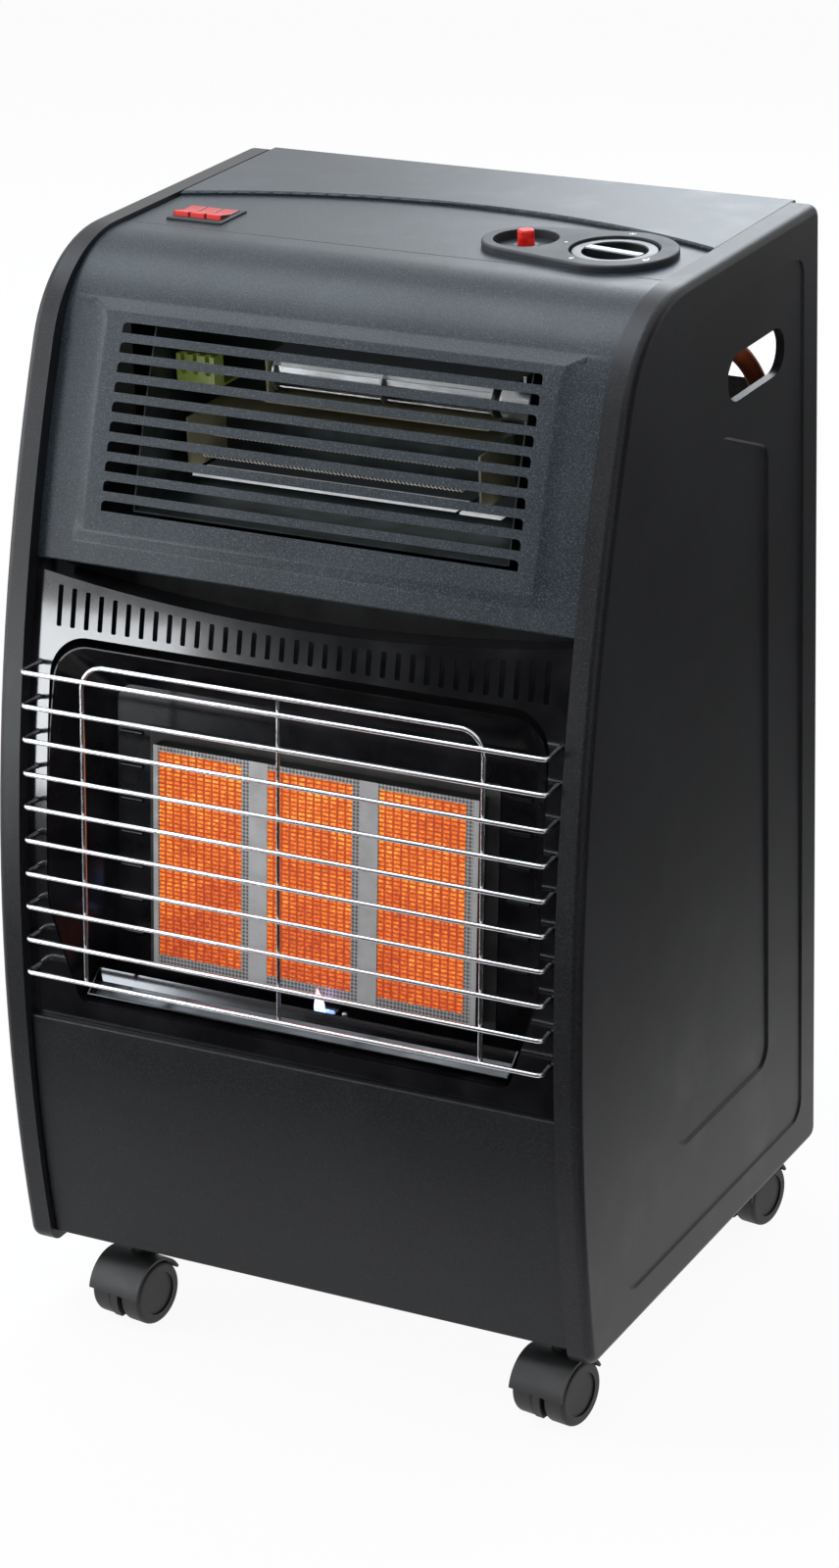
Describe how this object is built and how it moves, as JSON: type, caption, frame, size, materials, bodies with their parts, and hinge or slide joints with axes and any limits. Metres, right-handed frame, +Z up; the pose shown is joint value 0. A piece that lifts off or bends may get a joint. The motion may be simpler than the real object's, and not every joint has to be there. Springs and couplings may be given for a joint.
{
  "type": "portable gas cabinet heater",
  "caption": "Portable cabinet heater on casters: three radiant ceramic plaques behind a wire guard, louvred fan heater above, control dial and switches on top.",
  "frame": {"origin": "centre of the bounding box at floor level, below the middle of the cabinet", "axes": "+Z up; the front with its guard faces -Y; +X is to the right as seen from the front"},
  "size_m": [0.4246, 0.382, 0.7355],
  "materials": {
    "panel_paint": "satin powder coat, blue-grey black",
    "side_paint": "satin powder coat, black",
    "enamel": "gloss black enamel",
    "chrome_wire": "bright plated wire",
    "polished_steel": "polished",
    "galvanised": "galvanised sheet",
    "ceramic": "glowing ceramic, fine holes",
    "brass": "turned",
    "black_plastic": "moulded",
    "gloss_plastic": "moulded, gloss",
    "pale_inlay": "pale grip strip",
    "red_plastic": "translucent red",
    "orange_rubber": "gas hose",
    "zinc": "plated",
    "cast_zinc": "cast",
    "element_wire": "resistance wire",
    "mica": "board",
    "green_plastic": "terminal block",
    "white_ceramic": "glazed ceramic",
    "wheel_plastic": "nylon"
  },
  "bodies": {
    "cabinet": {"base_pan": "galvanised", "bottom_deflector": "polished_steel", "bright_strips": "polished_steel", "burner_box": "galvanised", "burner_frame": "galvanised", "cable_gland": "black_plastic", "caster_sockets": "zinc", "control_panel": "panel_paint", "control_plate": "gloss_plastic", "duct_plates": "mica", "fan_housing": "galvanised", "fan_motor": "zinc", "fan_supports": "mica", "front_fascia": "panel_paint", "gas_hose": "orange_rubber", "gas_manifold": "brass", "gas_pipe": "brass", "gas_valve": "cast_zinc", "guard_grille": "chrome_wire", "heat_shield": "galvanised", "heater_coils": "element_wire", "hose_ferrules": "zinc", "ignition_electrode": "white_ceramic", "left_side_panel": "side_paint", "lower_front_panel": "panel_paint", "piezo_igniter": "black_plastic", "pilot_burner": "polished_steel", "pilot_pipe": "brass", "plaque_centre": "ceramic", "plaque_left": "ceramic", "plaque_right": "ceramic", "rear_rail": "galvanised", "reflector_box": "enamel", "regulator_body": "cast_zinc", "right_side_panel": "side_paint", "surround_plate": "enamel", "switch_block": "gloss_plastic", "terminal_block": "green_plastic", "thermocouple": "zinc", "top_lid": "panel_paint", "valve_bracket": "galvanised"},
    "spring_cup": {"spring_cup": "zinc"},
    "knob": {"gas_knob": "gloss_plastic", "knob_inlay": "pale_inlay", "valve_spindle": "zinc"},
    "igniter_button": {"piezo_button": "red_plastic"},
    "rocker_left": {"rocker_left": "red_plastic"},
    "rocker_centre": {"rocker_centre": "red_plastic"},
    "rocker_right": {"rocker_right": "red_plastic"},
    "fan_wheel": {"fan_impeller": "zinc"},
    "rear_cover": {"rear_cover": "side_paint"},
    "regulator_lever": {"regulator_lever": "black_plastic"},
    "caster_front_left": {"caster_front_left": "wheel_plastic"},
    "wheels_front_left": {"wheels_front_left": "wheel_plastic"},
    "caster_rear_left": {"caster_rear_left": "wheel_plastic"},
    "wheels_rear_left": {"wheels_rear_left": "wheel_plastic"},
    "caster_front_right": {"caster_front_right": "wheel_plastic"},
    "wheels_front_right": {"wheels_front_right": "wheel_plastic"},
    "caster_rear_right": {"caster_rear_right": "wheel_plastic"},
    "wheels_rear_right": {"wheels_rear_right": "wheel_plastic"}
  },
  "joints": [
    {"name": "knob_push", "type": "slide", "parent": "cabinet", "child": "spring_cup", "axis": [0, 0, -1], "range_m": [0, 0.004], "stiffness_N_per_m": 1500, "springref_m": -0.002},
    {"name": "knob_turn", "type": "hinge", "parent": "spring_cup", "child": "knob", "pos_m": [0.139, 0.03453, 0.7195], "axis": [0, 0, -1], "range_deg": [0, 210]},
    {"name": "igniter_push", "type": "slide", "parent": "cabinet", "child": "igniter_button", "axis": [0, 0, -1], "range_m": [0, 0.006], "stiffness_N_per_m": 800, "springref_m": -0.001},
    {"name": "rocker_left_tilt", "type": "hinge", "parent": "cabinet", "child": "rocker_left", "pos_m": [-0.151, 0.02373, 0.725], "axis": [1, 0, 0], "range_deg": [0, 12]},
    {"name": "rocker_centre_tilt", "type": "hinge", "parent": "cabinet", "child": "rocker_centre", "pos_m": [-0.151, 0.02373, 0.725], "axis": [1, 0, 0], "range_deg": [0, 12]},
    {"name": "rocker_right_tilt", "type": "hinge", "parent": "cabinet", "child": "rocker_right", "pos_m": [-0.151, 0.02373, 0.725], "axis": [1, 0, 0], "range_deg": [0, 12]},
    {"name": "fan_spin", "type": "hinge", "parent": "cabinet", "child": "fan_wheel", "pos_m": [0, -0.032, 0.6445], "axis": [1, 0, 0], "continuous": true},
    {"name": "cover_lift", "type": "slide", "parent": "cabinet", "child": "rear_cover", "axis": [0, 0, 1], "range_m": [0, 0.015]},
    {"name": "regulator_switch", "type": "hinge", "parent": "cabinet", "child": "regulator_lever", "pos_m": [0.165, 0.155, 0.239], "axis": [0, 1, 0], "range_deg": [0, 90]},
    {"name": "swivel_front_left", "type": "hinge", "parent": "cabinet", "child": "caster_front_left", "pos_m": [-0.141, -0.1416, 0.045], "axis": [0, 0, 1], "continuous": true},
    {"name": "roll_front_left", "type": "hinge", "parent": "caster_front_left", "child": "wheels_front_left", "pos_m": [-0.14267, -0.15348, 0.022], "axis": [-0.9903, 0.1392, 0], "continuous": true},
    {"name": "swivel_rear_left", "type": "hinge", "parent": "cabinet", "child": "caster_rear_left", "pos_m": [-0.141, 0.16, 0.045], "axis": [0, 0, 1], "continuous": true},
    {"name": "roll_rear_left", "type": "hinge", "parent": "caster_rear_left", "child": "wheels_rear_left", "pos_m": [-0.14267, 0.14812, 0.022], "axis": [-0.9903, 0.1392, 0], "continuous": true},
    {"name": "swivel_front_right", "type": "hinge", "parent": "cabinet", "child": "caster_front_right", "pos_m": [0.178, -0.1416, 0.045], "axis": [0, 0, 1], "continuous": true},
    {"name": "roll_front_right", "type": "hinge", "parent": "caster_front_right", "child": "wheels_front_right", "pos_m": [0.17633, -0.15348, 0.022], "axis": [-0.9903, 0.1392, 0], "continuous": true},
    {"name": "swivel_rear_right", "type": "hinge", "parent": "cabinet", "child": "caster_rear_right", "pos_m": [0.178, 0.16, 0.045], "axis": [0, 0, 1], "continuous": true},
    {"name": "roll_rear_right", "type": "hinge", "parent": "caster_rear_right", "child": "wheels_rear_right", "pos_m": [0.17633, 0.14812, 0.022], "axis": [-0.9903, 0.1392, 0], "continuous": true}
  ]
}
